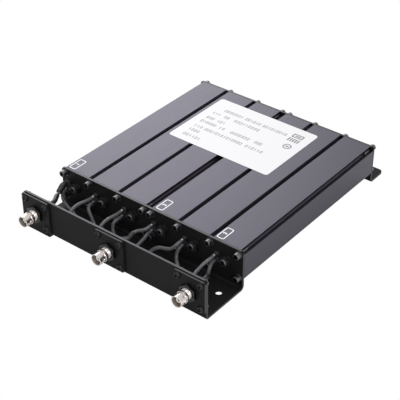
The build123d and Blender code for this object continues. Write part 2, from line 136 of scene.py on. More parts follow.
@dataclass(frozen=True)
class Finish:
    """One surface of the duplexer: what it is made of and how it was made.

    Args:
        name: The material's common name.
        colour: Its main colour.
        shade: The colour that its pattern drifts to.
        metallic: 1 for bare or plated metal, 0 for paint, plastic and paper.
        roughness: The middle of its roughness.
        spread: How far the pattern moves the roughness each way.
        pitch: The size of the pattern's grain, in millimetres.
        relief: The height of the grain, in millimetres.
        grain: The direction of the grain.
        specular: Strength of a dielectric's reflection, 0.5 for a refractive index of 1.5.
    """

    name: str
    colour: str
    shade: str
    metallic: float
    roughness: float
    spread: float
    pitch: float
    relief: float
    grain: Grain = Grain.EVEN
    specular: float = 0.5

    @functools.cache
    def material(self) -> bpy.types.Material:
        """Builds the material once.

        Returns:
            The material, with its grain in object coordinates.
        """
        material = bpy.data.materials.new(self.name)
        material.use_nodes = True
        tree = material.node_tree
        tree.nodes.clear()
        place = add_node(tree, "ShaderNodeTexCoord").outputs["Object"]
        along = add_node(tree, "ShaderNodeMapping", {"Vector": place, "Scale": self.grain.value})
        pattern = {"Vector": along.outputs[0], "Scale": 1 / (self.pitch * MM), **NOISE}
        fine = add_node(tree, "ShaderNodeTexNoise", pattern).outputs["Fac"]
        tones = {0: fine, 6: linear(self.colour), 7: linear(self.shade)}
        tone = add_node(tree, "ShaderNodeMix", tones, data_type="RGBA")
        limits = {"To Min": self.roughness - self.spread, "To Max": self.roughness + self.spread}
        rough = add_node(tree, "ShaderNodeMapRange", {"Value": fine, **NOISE_RANGE, **limits})
        height = {"Strength": 1.0, "Distance": self.relief * MM, "Height": fine}
        surface = {
            "Base Color": tone.outputs[2],
            "Metallic": self.metallic,
            "Roughness": rough.outputs[0],
            "Normal": add_node(tree, "ShaderNodeBump", height).outputs[0],
            "Specular IOR Level": self.specular,
        }
        shader = add_node(tree, "ShaderNodeBsdfPrincipled", surface)
        add_node(tree, "ShaderNodeOutputMaterial", {"Surface": shader.outputs[0]})
        return material


# Real grain is mostly too fine to show here, so each pitch is drawn as coarse as it needs to show

# Extruded aluminium, black anodised: a satin grey sheen with faint die lines along its length
ANODISED = Finish("anodised aluminium", "#5E5C65", "#5A5861", 1.0, 0.46, 0.02, 0.5, 0.001, Grain.DRAWN)
# Aluminium sheet, powder coated satin black: a fine orange peel breaks up its weak reflections
BLACK_PAINT = Finish("black powder coat", "#141415", "#191919", 0.0, 0.5, 0.05, 0.7, 0.006, specular=0.11)
# Sheared edge of the same sheet, where the paint is thin: the metal shows grey
SHEARED_EDGE = Finish("sheared sheet edge", "#58585B", "#464648", 1.0, 0.45, 0.08, 0.4, 0.01)
# Blackened and oiled steel, painted lighter than the black finish as a painted highlight on the flanks of
# the socket screws and the rims of the rods: sharp highlights
HIGHLIGHT_STEEL = Finish("steel with painted highlight", "#7C7D80", "#68696C", 1.0, 0.33, 0.05, 0.3, 0.003)
# Zinc plated steel, washers and the nuts behind the panel: grey with soft highlights
ZINC_STEEL = Finish("zinc plated steel", "#747578", "#606164", 1.0, 0.32, 0.06, 0.3, 0.004)
# Black oxide, plate screws and lock nuts: black with soft metal glints. On the faces and sockets at the
# ends of screws and rods the same black is painted shade
BLACK_OXIDE_AND_SHADE = Finish("black oxide steel and painted shade", "#1C1C1F", "#252528", 0.6, 0.36, 0.06, 0.3, 0.004)
# Black nickel, jack nuts and tuning rods: dark with light glints along the edges
BLACK_NICKEL = Finish("black nickel", "#48494B", "#3E3F41", 1.0, 0.3, 0.05, 0.3, 0.003)
# Turned brass, bright nickel plated: the jacks mirror the studio
NICKEL = Finish("nickel plated brass", "#F2EBE8", "#EAE2DE", 1.0, 0.24, 0.03, 0.25, 0.001, Grain.TURNED)
# The same plating inside the barrels, duller, and painted darker there as painted shade
SHADED_DULL_NICKEL = Finish("dull nickel with painted shade", "#BEB4AE", "#B4AAA4", 0.9, 0.55, 0.04, 0.3, 0.001)
# Turned brass, silver plated: taps, resonators and plungers, a little dull
SILVER = Finish("silver plated brass", "#8C8B8A", "#7A7978", 1.0, 0.34, 0.06, 0.3, 0.003, Grain.TURNED)
# Tinned solder around the cables at the taps: pale and smooth
SOLDER = Finish("tin solder", "#ABACAE", "#939496", 1.0, 0.36, 0.06, 0.6, 0.02)
# Turned contacts, gold plated: a yellow glint
GOLD = Finish("gold plated contact", "#D3B072", "#C49F60", 1.0, 0.24, 0.04, 0.3, 0.002, Grain.TURNED)
# Turned PTFE, waxy white
PTFE = Finish("PTFE", "#EDECE8", "#E4E2DD", 0.0, 0.5, 0.05, 0.4, 0.004, Grain.TURNED, 0.4)
# PVC jacket of the thin coax: dark grey with a soft sheen
JACKET = Finish("PVC jacket", "#515255", "#5C5D60", 0.0, 0.27, 0.05, 0.8, 0.01)
# Heat-shrink sleeve, black polyolefin that follows what is under it
SHRINK = Finish("polyolefin sleeve", "#121212", "#181818", 0.0, 0.36, 0.06, 1.6, 0.05)
# Label stock, white satin paper under a thin film
PAPER = Finish("label paper", "#DFDFE1", "#DADADD", 0.0, 0.5, 0.04, 0.5, 0.002)
# Screen-printed inks, grey on the label and white on the anodising
GREY_INK = Finish("grey ink", "#78787E", "#828288", 0.0, 0.5, 0.04, 0.3, 0.001)
WHITE_INK = Finish("white ink", "#F4F4F6", "#EDEDF0", 0.0, 0.5, 0.04, 0.3, 0.001)


# Shapes


def add_object(name: str, data: bpy.types.ID) -> bpy.types.Object:
    """Adds an object to the scene.

    Args:
        name: The object's name.
        data: Its mesh, curve, text, light or camera.

    Returns:
        The new object.
    """
    piece = bpy.data.objects.new(name, data)
    bpy.context.scene.collection.objects.link(piece)
    return piece


def evaluated(piece: bpy.types.Object) -> bpy.types.Mesh:
    """Returns a new mesh of an object, with its modifiers and curve settings applied."""
    graph = bpy.context.evaluated_depsgraph_get()
    return bpy.data.meshes.new_from_object(piece.evaluated_get(graph))


def finished(
    bm: BMesh,
    name: str,
    finishes: list[Finish],
    replaces: tuple[str, ...] = (),
    body: str = ROOT,
    crease: float = math.radians(32),
) -> bpy.types.Object:
    """Turns a bmesh into a piece of the duplexer, smooth shaded between its creases.

    Args:
        bm: The shape, which is freed.
        name: The piece's name.
        finishes: The finish of each material index.
        replaces: The CAD nodes that the piece stands for.
        body: The CAD body that it rides on.
        crease: The angle above which an edge stays sharp.

    Returns:
        The piece's object.
    """
    bmesh.ops.remove_doubles(bm, verts=bm.verts, dist=MERGE / 4)
    bmesh.ops.recalc_face_normals(bm, faces=bm.faces)
    open_edges = 0
    for face in bm.faces:
        face.smooth = True
    for edge in bm.edges:
        if len(edge.link_faces) == 2:
            edge.smooth = edge.calc_face_angle() < crease
        else:
            open_edges += 1
    triangles = sum(len(face.verts) - 2 for face in bm.faces)
    mesh = bpy.data.meshes.new(name)
    bm.to_mesh(mesh)
    bm.free()
    if "custom_normal" in mesh.attributes:
        mesh.attributes.remove(mesh.attributes["custom_normal"])
    for finish in finishes:
        mesh.materials.append(finish.material())
    piece = add_object(name, mesh)
    weighing = piece.modifiers.new("weighted normals", "WEIGHTED_NORMAL")
    weighing.keep_sharp = True
    weighed = evaluated(piece)
    piece.modifiers.clear()
    piece.data = weighed
    bpy.data.meshes.remove(mesh)
    weighed.name = name
    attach(piece, body)
    if replaces:
        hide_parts(*replaces)
    log.info("%s: %d triangles on %s, %d open edges", name, triangles, body, open_edges)
    return piece


def lathe(profile: Profile, centre: Vector, closed: bool = False, steps: int = ROUND_STEPS) -> BMesh:
    """Spins a profile about the line along Y through a point.

    Args:
        profile: Points as (radius, y), where y is measured from the centre.
        centre: A point of the axis.
        closed: Whether the profile's ends join, as in a ring.
        steps: The number of faces around.

    Returns:
        The turned shape.
    """
    bm = bmesh.new()
    chain = [bm.verts.new((centre.x + radius, centre.y + y, centre.z)) for radius, y in profile]
    pairs = list(zip(chain, chain[1:])) + ([(chain[-1], chain[0])] if closed else [])
    geom = chain + [bm.edges.new(pair) for pair in pairs]
    bmesh.ops.spin(bm, geom=geom, cent=centre, axis=Y_AXIS, angle=FULL_TURN, steps=steps, use_merge=True)
    bmesh.ops.remove_doubles(bm, verts=bm.verts, dist=MERGE / 4)
    return bm


def bevel(bm: BMesh, geom: list, width: float, segments: int = 2, affect: str = "EDGES") -> None:
    """Rounds edges or corners to a width."""
    bmesh.ops.bevel(bm, geom=geom, offset=width, segments=segments, profile=0.5, affect=affect, material=-1)


def polar(vert: BMVert, centre: Vector) -> Couple:
    """Returns a vertex's distance from the line along Y through centre, and its angle about it."""
    across, up = vert.co.x - centre.x, vert.co.z - centre.z
    return math.hypot(across, up), math.atan2(up, across)


def set_radius(vert: BMVert, centre: Vector, radius: float) -> None:
    """Moves a vertex to a radius about a line along Y.

    Args:
        vert: The vertex.
        centre: A point of the line.
        radius: Its new distance from the line.
    """
    angle = polar(vert, centre)[1]
    vert.co.x = centre.x + radius * math.cos(angle)
    vert.co.z = centre.z + radius * math.sin(angle)


def hex_socket(bm: BMesh, centre: Vector, rim: Couple, flats: float, depth: float) -> None:
    """Sinks a hexagonal socket into the round rim of a screw's or rod's end.

    Args:
        bm: The bmesh with the lathed shape.
        centre: A point of its axis.
        rim: Radius and y of the rim that the socket opens in, from the centre.
        flats: The socket's width across flats.
        depth: How far it goes in, towards +Y, or towards -Y where it is negative.
    """

    def on_rim(vert: BMVert) -> bool:
        """Tells whether a vertex lies on the rim."""
        off = abs(polar(vert, centre)[0] - rim[0]) + abs(vert.co.y - centre.y - rim[1])
        return off < 5 * MERGE

    edge_loop = [edge for edge in bm.edges if all(on_rim(vert) for vert in edge.verts)]
    mouth_centre = (centre.x, centre.y + rim[1], centre.z)
    place = Matrix.Translation(mouth_centre) @ Matrix.Rotation(math.pi / 2, 4, "X")
    ring = bmesh.ops.create_circle(bm, segments=6, radius=flats / math.sqrt(3), matrix=place)["verts"]
    mouth = list({edge for vert in ring for edge in vert.link_edges})
    bmesh.ops.bridge_loops(bm, edges=edge_loop + mouth)
    sunk = bmesh.ops.extrude_edge_only(bm, edges=mouth)["geom"]
    floor = [item for item in sunk if isinstance(item, BMVert)]
    bmesh.ops.translate(bm, verts=floor, vec=(0, depth, 0))
    sides = [item for item in sunk if isinstance(item, BMEdge)]
    bottom = [edge for edge in sides if all(vert in floor for vert in edge.verts)]
    bmesh.ops.contextual_create(bm, geom=bottom)


def paint_shade_inside(bm: BMesh, centre: Vector, rim: float, depth: float) -> None:
    """Paints shade inside a rim, such as on a screw's face and socket, by giving it the second, darker
    finish.

    Args:
        bm: The bmesh with the turned shape.
        centre: The middle of its end.
        rim: The radius of the rim.
        depth: How far the finish goes in.
    """
    for face in bm.faces:
        middle = face.calc_center_median() - centre
        near = math.hypot(middle.x, middle.z) < rim and abs(middle.y) < depth + MERGE
        inside = all(polar(vert, centre)[0] < rim + MERGE for vert in face.verts)
        face.material_index = int(near and inside)


def nut(flats: float, height: float, bore: float) -> BMesh:
    """Makes a hexagonal nut, its corners chamfered by a cone of 30 degrees at both faces.

    Args:
        flats: Its width across flats.
        height: Its height along +Y.
        bore: The diameter of its bore.

    Returns:
        The nut, with the middle of its -Y face at the origin.
    """
    corner = flats / math.sqrt(3)
    face_radius = NUT_FACE * flats / 2
    slope = math.tan(math.radians(60))
    depth = (corner - face_radius) / slope
    levels = [0.0, depth / 4, depth / 2, depth]
    outer = [(corner, y) for y in levels] + [(corner, height - y) for y in reversed(levels)]
    inner, lead = bore / 2, NUT_LEAD * bore / 2
    hole = [(inner + lead, height), (inner, height - lead), (inner, lead), (inner + lead, 0.0)]
    bm = lathe([*outer, *hole], Vector(), closed=True)
    for vert in bm.verts:
        radius, angle = polar(vert, Vector())
        if radius > corner - MERGE:
            turn = (angle + math.pi / 6) % (math.pi / 3) - math.pi / 6
            cone = face_radius + slope * min(vert.co.y, height - vert.co.y)
            set_radius(vert, Vector(), min(flats / 2 / math.cos(turn), cone))
    return bm


def drum(radius: float, start: float, end: float, first: float = 0.0, last: float = 0.0) -> Profile:
    """Lists the points of a cylinder in a lathe's profile.

    Args:
        radius: Its radius.
        start: Where it starts along Y.
        end: Where it ends.
        first: The width of the bevel on its first rim.
        last: The width of the bevel on its last rim.

    Returns:
        The points, two to a bevelled rim and one to a sharp one.
    """
    opening = [(radius - first, start), (radius, start + first)] if first else [(radius, start)]
    closing = [(radius, end - last), (radius - last, end)] if last else [(radius, end)]
    return opening + closing


def thread_profile(radius: float, start: float, length: float, pitch: float) -> Profile:
    """Returns the points of a cylinder along which a thread will be cut, four to a pitch."""
    count = max(2, round(4 * length / pitch))
    return [(radius, start + length * k / count) for k in range(count + 1)]


def cut_thread(bm: BMesh, centre: Vector, radius: float, span: Couple, pitch: float) -> None:
    """Cuts a right-hand thread by drawing in the vertices of a cylinder along a helix.

    Args:
        bm: The bmesh with the lathed shape.
        centre: A point of its axis.
        radius: The crest's radius.
        span: Start and end of the thread, from the centre.
        pitch: The thread's pitch.
    """
    depth = THREAD_DEPTH * pitch
    for vert in bm.verts:
        y = vert.co.y - centre.y
        own, angle = polar(vert, centre)
        if abs(own - radius) > MERGE or not span[0] < y < span[1]:
            continue
        runout = min(1.0, (y - span[0]) / pitch, (span[1] - y) / pitch)
        phase = (y / pitch + angle / FULL_TURN) % 1
        set_radius(vert, centre, radius - depth * runout * abs(2 * phase - 1))


def cad_copy(node: str) -> BMesh:
    """Copies the mesh of a CAD node and merges its doubled vertices.

    Args:
        node: The node's name.

    Returns:
        The copy, in place.
    """
    bm = bmesh.new()
    bm.from_mesh(bpy.data.objects[node].data)
    bmesh.ops.remove_doubles(bm, verts=bm.verts, dist=MERGE)
    return bm


def islands(node: str) -> list[Box]:
    """Finds the separate solids of a CAD node that holds several.

    Args:
        node: The node's name.

    Returns:
        The lowest and highest corner of each solid.
    """
    bm = cad_copy(node)
    unseen = set(bm.verts)
    boxes = []
    while unseen:
        front = [unseen.pop()]
        found = []
        while front:
            vert = front.pop()
            found.append(vert.co.copy())
            near = {edge.other_vert(vert) for edge in vert.link_edges} & unseen
            unseen -= near
            front.extend(near)
        boxes.append((Vector(map(min, zip(*found))), Vector(map(max, zip(*found)))))
    bm.free()
    return sorted(boxes, key=lambda box: tuple(box[0]))


def fronts(boxes: list[Box], y: float | None = None) -> list[Vector]:
    """Returns the middle of each box's -Y side, or of its section at a given y."""
    middles = [(low + high) / 2 for low, high in boxes]
    return [Vector((m.x, box[0].y if y is None else y, m.z)) for m, box in zip(middles, boxes)]


def spread(pattern: BMesh, places: list[Vector], turn: bool = False) -> BMesh:
    """Repeats a shape that was built at the origin.

    Args:
        pattern: The shape, which is freed.
        places: Where each copy's origin goes.
        turn: Whether each copy is turned about Y by a chance angle, as tightened screws are.

    Returns:
        A bmesh with all the copies.
    """
    chance = random.Random(TURN_SEED)
    mesh = bpy.data.meshes.new("pattern")
    pattern.to_mesh(mesh)
    pattern.free()
    whole = bmesh.new()
    for place in places:
        before = set(whole.verts)
        whole.from_mesh(mesh)
        copy = [vert for vert in whole.verts if vert not in before]
        angle = chance.uniform(0, FULL_TURN) if turn else 0.0
        matrix = Matrix.Translation(place) @ Matrix.Rotation(angle, 4, "Y")
        bmesh.ops.transform(whole, matrix=matrix, verts=copy)
    bpy.data.meshes.remove(mesh)
    return whole


def place_nuts(node: str, flats: float, bore: float, finish: Finish, turn: bool = True) -> None:
    """Replaces the nuts of a CAD node with chamfered ones.

    Args:
        node: The node's name.
        flats: Their width across flats.
        bore: The diameter of their bore.
        finish: What they are made of.
        turn: Whether each is turned by a chance angle.
    """
    boxes = islands(node)
    pattern = nut(flats, boxes[0][1].y - boxes[0][0].y, bore)
    finished(spread(pattern, fronts(boxes), turn), f"{node}_chamfered", [finish], (node,))


def measure(node: str) -> tuple[Vector, float, float]:
    """Returns where the axis of a turned CAD node meets its -Y end, its radius and its length."""
    low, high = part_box(node)
    return fronts([(low, high)])[0], (high.x - low.x) / 2, high.y - low.y


# Sub-assemblies


@dataclass
class SheetMetal:
    """Brackets, plates and extrusions, kept in their CAD form with softened edges.

    Args:
        edge: Width of the rounding that the coating gives each edge.
        flat: Angle under which neighbouring faces count as one.
        sharp: Angle above which an edge is rounded.
    """

    edge: float = 0.2 * MM
    flat: float = math.radians(0.5)
    sharp: float = math.radians(40)

    def softened(self, node: str) -> BMesh:
        """Copies a CAD node, merges its triangles and rounds its edges.

        Args:
            node: The node's name.

        Returns:
            The rounded shape.
        """
        bm = cad_copy(node)
        bmesh.ops.dissolve_limit(bm, angle_limit=self.flat, verts=bm.verts, edges=bm.edges)
        edges = [e for e in bm.edges if len(e.link_faces) == 2 and e.calc_face_angle() > self.sharp]
        bevel(bm, edges, self.edge)
        return bm

    def bare_rim(self, bm: BMesh, node: str) -> None:
        """Gives the second finish to the sheared edges on a node's sides and top.

        Args:
            bm: The bmesh with the node's rounded shape.
            node: The node's name.
        """
        low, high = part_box(node)
        for face in bm.faces:
            middle = face.calc_center_median()
            side = min(middle.x - low.x, high.x - middle.x) < self.edge / 2 and abs(face.normal.x) > FACING
            top = high.z - middle.z < self.edge * 2 and face.normal.z > FACING
            face.material_index = int(side or top)

    def build(self) -> None:
        """Builds the brackets, the connector plates and the two extrusions."""
        for node in ("front_bracket", "rear_bracket", *(f"connector_plate_{i}" for i in (1, 2, 3))):
            shape = self.softened(node)
            self.bare_rim(shape, node)
            finished(shape, f"{node}_painted", [BLACK_PAINT, SHEARED_EDGE], (node,))
        for node in ("left_extrusion", "right_extrusion"):
            finished(self.softened(node), f"{node}_anodised", [ANODISED], (node,))


@dataclass
class EndScrews:
    """Socket screws of one end plate, each over a spring washer and a flat washer.

    Args:
        node: The CAD node with the screws and washers.
        outward: -1 at the front end and 1 at the rear.
    """

    node: str
    outward: int
    core: float = 1.3 * MM
    head: float = 2.75 * MM
    knurl: float = 0.02 * MM
    chamfer: float = 0.3 * MM
    socket_flats: float = 2.5 * MM
    socket_depth: float = 1.6 * MM
    flat_washer: float = 3.3 * MM
    spring_washer: float = 2.8 * MM
    washer_bore: float = 1.65 * MM
    washer_edge: float = 0.1 * MM
    flat_height: float = 0.55 * MM
    spring_gap: float = 0.5 * MM
    shortest: float = 5.0 * MM

    def washers(self, stack: float) -> BMesh:
        """Builds a flat washer and a split spring washer, from the plate outwards.

        Args:
            stack: The height that both take.

        Returns:
            The two washers at the origin.
        """
        out, bore, edge = self.outward, self.washer_bore, self.washer_edge
        height = self.flat_height
        flat = [(bore, 0.0), *drum(self.flat_washer, 0.0, height, last=edge), (bore, height)]
        flat = [(radius, out * y) for radius, y in flat]
        bm = lathe(flat, Vector(), closed=True, steps=36)
        low, high, outer = out * height, out * stack, self.spring_washer
        ring = ((bore, low), (outer, low), (outer, high), (bore, high))
        section = [bm.verts.new((radius, y, 0)) for radius, y in ring]
        face = bm.faces.new(section)
        arc = FULL_TURN - self.spring_gap / outer
        bmesh.ops.spin(bm, geom=[face], cent=(0, 0, 0), axis=Y_AXIS, angle=arc, steps=32, use_merge=False)
        return bm

    def screw(self, stack: float, height: float, reach: float) -> BMesh:
        """Builds one socket screw.

        Args:
            stack: Height of the washers under its head.
            height: Height of its head.
            reach: How far its core goes in behind the plate's face.

        Returns:
            The screw at the origin, which is its place on the plate's face.
        """
        out, core, head, edge = self.outward, self.core, self.head, self.chamfer
        top = stack + height
        rim = head - edge
        shank = [(0.0, -reach), *drum(core, -reach, stack, edge)]
        cap = drum(head, stack, top, self.knurl, edge)
        profile = [(radius, out * y) for radius, y in shank + cap]
        bm = lathe(profile, Vector())
        step = FULL_TURN / ROUND_STEPS
        for vert in bm.verts:
            radius, angle = polar(vert, Vector())
            if radius > head - MERGE and round(angle / step) % 2:
                set_radius(vert, Vector(), head - self.knurl)
        hex_socket(bm, Vector(), (rim, out * top), self.socket_flats, -out * self.socket_depth)
        # The head's face and socket get the black finish as painted shade, and its flank keeps the lighter
        # steel as a painted highlight
        paint_shade_inside(bm, Vector((0, out * top, 0)), rim, self.socket_depth)
        return bm

    def build(self) -> None:
        """Places a screw and its washers on every port of the end plate."""
        boxes = islands(self.node)
        screws = [box for box in boxes if box[1].y - box[0].y > self.shortest]
        washers = [box for box in boxes if box not in screws]
        face = washers[0][1].y if self.outward < 0 else washers[0][0].y
        stack = washers[0][1].y - washers[0][0].y
        low, high = screws[0][0].y, screws[0][1].y
        head_top, tip = (low, high) if self.outward < 0 else (high, low)
        places = fronts(screws, face)
        screw = self.screw(stack, abs(head_top - face) - stack, abs(tip - face))
        turned = spread(screw, places, turn=True)
        finished(turned, f"{self.node}_turned", [HIGHLIGHT_STEEL, BLACK_OXIDE_AND_SHADE], (self.node,))
        turned = spread(self.washers(stack), places, turn=True)
        finished(turned, f"{self.node}_washers", [ZINC_STEEL], (self.node,))


@dataclass
class Tuning:
    """Tuning rods, lock nuts, coupling taps and the silvered parts inside the cavities.

    Args:
        cavities: The number of cavities.
    """

    cavities: int = 6
    crest: float = 3.0 * MM
    pitch: float = 0.75 * MM
    thread: float = 24.0 * MM
    chamfer: float = 0.5 * MM
    stem: float = 2.0 * MM
    collar: float = 2.7 * MM
    collar_height: float = 1.2 * MM
    hub: float = 7.0 * MM
    hub_gap: float = 0.05 * MM
    socket_flats: float = 3.0 * MM
    socket_depth: float = 2.4 * MM
    nut_flats: float = 9.0 * MM
    nut_bore: float = 6.1 * MM

    def rod(self, index: int) -> None:
        """Builds one threaded tuning rod with its socket, stem and collars.

        Args:
            index: The number of its cavity.
        """
        node = f"tuning_rod_{index}"
        centre, _, length = measure(node)
        hub_end = length - self.collar_height - self.hub_gap
        hub_start = hub_end - self.hub - self.hub_gap
        crest, edge, thread, stem, collar = self.crest, self.chamfer, self.thread, self.stem, self.collar
        inner, outer, rim = hub_start - self.collar_height, length - self.collar_height, crest - edge
        shank = drum(crest, 0.0, thread, edge, edge)
        profile = [
            *shank[:2],
            *thread_profile(crest, 1.5 * edge, thread - 3 * edge, self.pitch),
            *shank[2:],
            *drum(stem, thread, inner),
            *drum(collar, inner, hub_start),
            *drum(stem, hub_start, outer),
            *drum(collar, outer, length),
            (0.0, length),
        ]
        bm = lathe(profile, centre, steps=32)
        cut_thread(bm, centre, crest, (edge, thread - edge), self.pitch)
        hex_socket(bm, centre, (rim, 0.0), self.socket_flats, self.socket_depth)
        # The tip's face and socket get the black finish as painted shade
        paint_shade_inside(bm, centre, rim, self.socket_depth)
        # The chamfered rim of the rod's tip gets the lighter steel as a painted highlight
        for face in bm.faces:
            if face.calc_center_median().y < centre.y + edge and not face.material_index:
                face.material_index = 2
        finishes = [BLACK_NICKEL, BLACK_OXIDE_AND_SHADE, HIGHLIGHT_STEEL]
        finished(bm, f"{node}_threaded", finishes, (node,), f"rod_{index}")

    def build(self) -> None:
        """Builds the rods and nuts, and finishes the CAD nodes that stay."""
        for index in range(1, self.cavities + 1):
            self.rod(index)
            for node in (f"resonator_{index}", f"tuning_plunger_{index}", f"coupling_taps_{index}"):
                bpy.data.objects[node].data.materials.clear()
                bpy.data.objects[node].data.materials.append(SILVER.material())
        place_nuts("tuning_lock_nuts", self.nut_flats, self.nut_bore, BLACK_OXIDE_AND_SHADE, turn=False)


@dataclass
class Ports:
    """The three bayonet jacks with their insulators, contacts, nuts, screws and sleeves."""

    count: int = 3
    barrel: float = 5.0 * MM
    barrel_bore: float = 4.3 * MM
    bore_depth: float = 8.5 * MM
    barrel_length: float = 6.0 * MM
    rim: float = 0.25 * MM
    groove: float = 4.5 * MM
    groove_width: float = 0.6 * MM
    ring: float = 5.3 * MM
    ring_width: float = 2.7 * MM
    thread: float = 4.75 * MM
    thread_pitch: float = 0.9 * MM
    thread_length: float = 8.0 * MM
    body_length: float = 17.0 * MM
    flange: float = 6.8 * MM
    flange_width: float = 2.0 * MM
    tail: float = 4.6 * MM
    tail_length: float = 6.5 * MM
    crimp: float = 3.3 * MM
    lug: float = 1.0 * MM
    lug_setback: float = 4.9 * MM
    lug_height: float = 0.7 * MM
    soft: float = 0.2 * MM
    insulator_bore: float = 2.5 * MM
    contact_hole: float = 1.12 * MM
    contact_bore: float = 0.7 * MM
    contact_depth: float = 5.0 * MM
    nut_flats: float = 14.0 * MM
    nut_bore: float = 9.7 * MM
    screw_head: float = 3.0 * MM
    screw_head_height: float = 2.0 * MM
    screw_core: float = 1.45 * MM
    screw_socket: float = 2.0 * MM
    screw_socket_depth: float = 1.2 * MM
    screw_crown: float = 1.7 * MM
    screw_edge: float = 0.4 * MM
    screw_dome: Couple = (0.86, 0.35)
    plate_nut_flats: float = 5.5 * MM
    plate_nut_bore: float = 3.0 * MM
    sleeve_grip: float = 5.0 * MM
    sleeve_cover: float = 0.8 * MM
    sleeve_wall: float = 0.5 * MM
    sleeve_waist: float = 0.1 * MM
    recess: float = 2.1 * MM

    def body(self, index: int) -> None:
        """Builds one jack body: barrel with lugs, ring, thread, flange and crimped tail.

        Args:
            index: The jack's number.
        """
        node = f"jack_body_{index}"
        centre, _, length = measure(node)
        rim, ring, flange, tail, crimp = self.rim, self.ring, self.flange, self.tail, self.crimp
        ring_start = self.barrel_length + self.groove_width
        ring_end = ring_start + self.ring_width
        tail_start = self.body_length + self.flange_width
        tail_end = tail_start + self.tail_length
        bore, depth = self.barrel_bore, self.bore_depth
        profile = [
            (bore, rim), (bore + rim, 0.0),
            *drum(self.barrel, 0.0, self.barrel_length, rim, rim / 2),
            *drum(self.groove, self.barrel_length, ring_start),
            *drum(ring, ring_start, ring_end, rim, rim),
            (self.thread, ring_end),
            *thread_profile(self.thread, ring_end + rim, self.thread_length - 2 * rim, self.thread_pitch),
            *drum(flange, self.body_length, tail_start, rim),
            *drum(tail, tail_start, tail_end, last=rim),
            *drum(crimp, tail_end, length, last=rim),
            (0.0, length), (0.0, tail_end), (self.insulator_bore, tail_end),
            (self.insulator_bore, depth), (bore, depth),
        ]
        bm = lathe(profile, centre, closed=True, steps=64)
        cut_thread(bm, centre, self.thread, (ring_end, ring_end + self.thread_length), self.thread_pitch)
        # The bore's wall gets the duller plating, painted darker as painted shade
        paint_shade_inside(bm, centre, bore, depth)
        self.add_lugs(bm, centre)
        finished(bm, f"{node}_plated", [NICKEL, SHADED_DULL_NICKEL], (node,))

    def add_lugs(self, bm: BMesh, centre: Vector) -> None:
        """Adds the two bayonet lugs, round pins with softened ends.

        Args:
            bm: The bmesh with the barrel.
            centre: The middle of the barrel's rim.
        """
        wall = (self.barrel + self.barrel_bore) / 2
        reach = self.barrel + self.lug_height
        for side in (-1, 1):
            middle = centre + Vector((side * (wall + reach) / 2, self.lug_setback, 0))
            place = Matrix.Translation(middle) @ Matrix.Rotation(math.pi / 2, 4, "Y")
            size = {"radius1": self.lug, "radius2": self.lug, "depth": reach - wall}
            pin = bmesh.ops.create_cone(bm, cap_ends=True, segments=24, matrix=place, **size)["verts"]
            edges = {edge for vert in pin for edge in vert.link_edges}
            tip = [e for e in edges if all(abs(v.co.x - centre.x) > reach - MERGE for v in e.verts)]
            bevel(bm, tip, self.soft)

    def insides(self, index: int) -> None:
        """Builds the insulator and the hollow contact of one jack.

        Args:
            index: The jack's number.
        """
        recess, soft, bore = self.recess, self.soft, self.contact_hole
        node = f"insulator_{index}"
        centre, outer, length = measure(node)
        outside = drum(outer, recess, length, soft)
        profile = [(bore + soft, recess), *outside, (bore, length), (bore, recess + soft)]
        bm = lathe(profile, centre, closed=True)
        finished(bm, f"{node}_turned", [PTFE], (node,))
        node = f"centre_contact_{index}"
        centre, outer, length = measure(node)
        bore = self.contact_bore
        end = recess + self.contact_depth
        hole = [(0.0, end + bore), (bore, end), (bore, recess + soft), (bore + soft / 2, recess)]
        profile = [*hole, *drum(outer, recess, length, soft / 2), (0.0, length)]
        bm = lathe(profile, centre, steps=24)
        finished(bm, f"{node}_plated", [GOLD], (node,))

    def fasteners(self) -> None:
        """Builds the jack nuts, the plate screws and the nuts behind the panel."""
        place_nuts("jack_nuts", self.nut_flats, self.nut_bore, BLACK_NICKEL)
        node = "plate_screws"
        boxes = islands(node)
        length = boxes[0][1].y - boxes[0][0].y
        head, height, edge = self.screw_head, self.screw_head_height, self.screw_edge
        dome = [(self.screw_crown, 0.0), (self.screw_dome[0] * head, self.screw_dome[1] * height)]
        shank = drum(self.screw_core, height, length, last=edge)
        profile = [*dome, (head, height - edge), (head, height), *shank, (0.0, length)]
        bm = lathe(profile, Vector(), steps=36)
        hex_socket(bm, Vector(), (self.screw_crown, 0.0), self.screw_socket, self.screw_socket_depth)
        domed = spread(bm, fronts(boxes), turn=True)
        finished(domed, f"{node}_domed", [BLACK_OXIDE_AND_SHADE], (node,))
        place_nuts("plate_nuts", self.plate_nut_flats, self.plate_nut_bore, ZINC_STEEL)

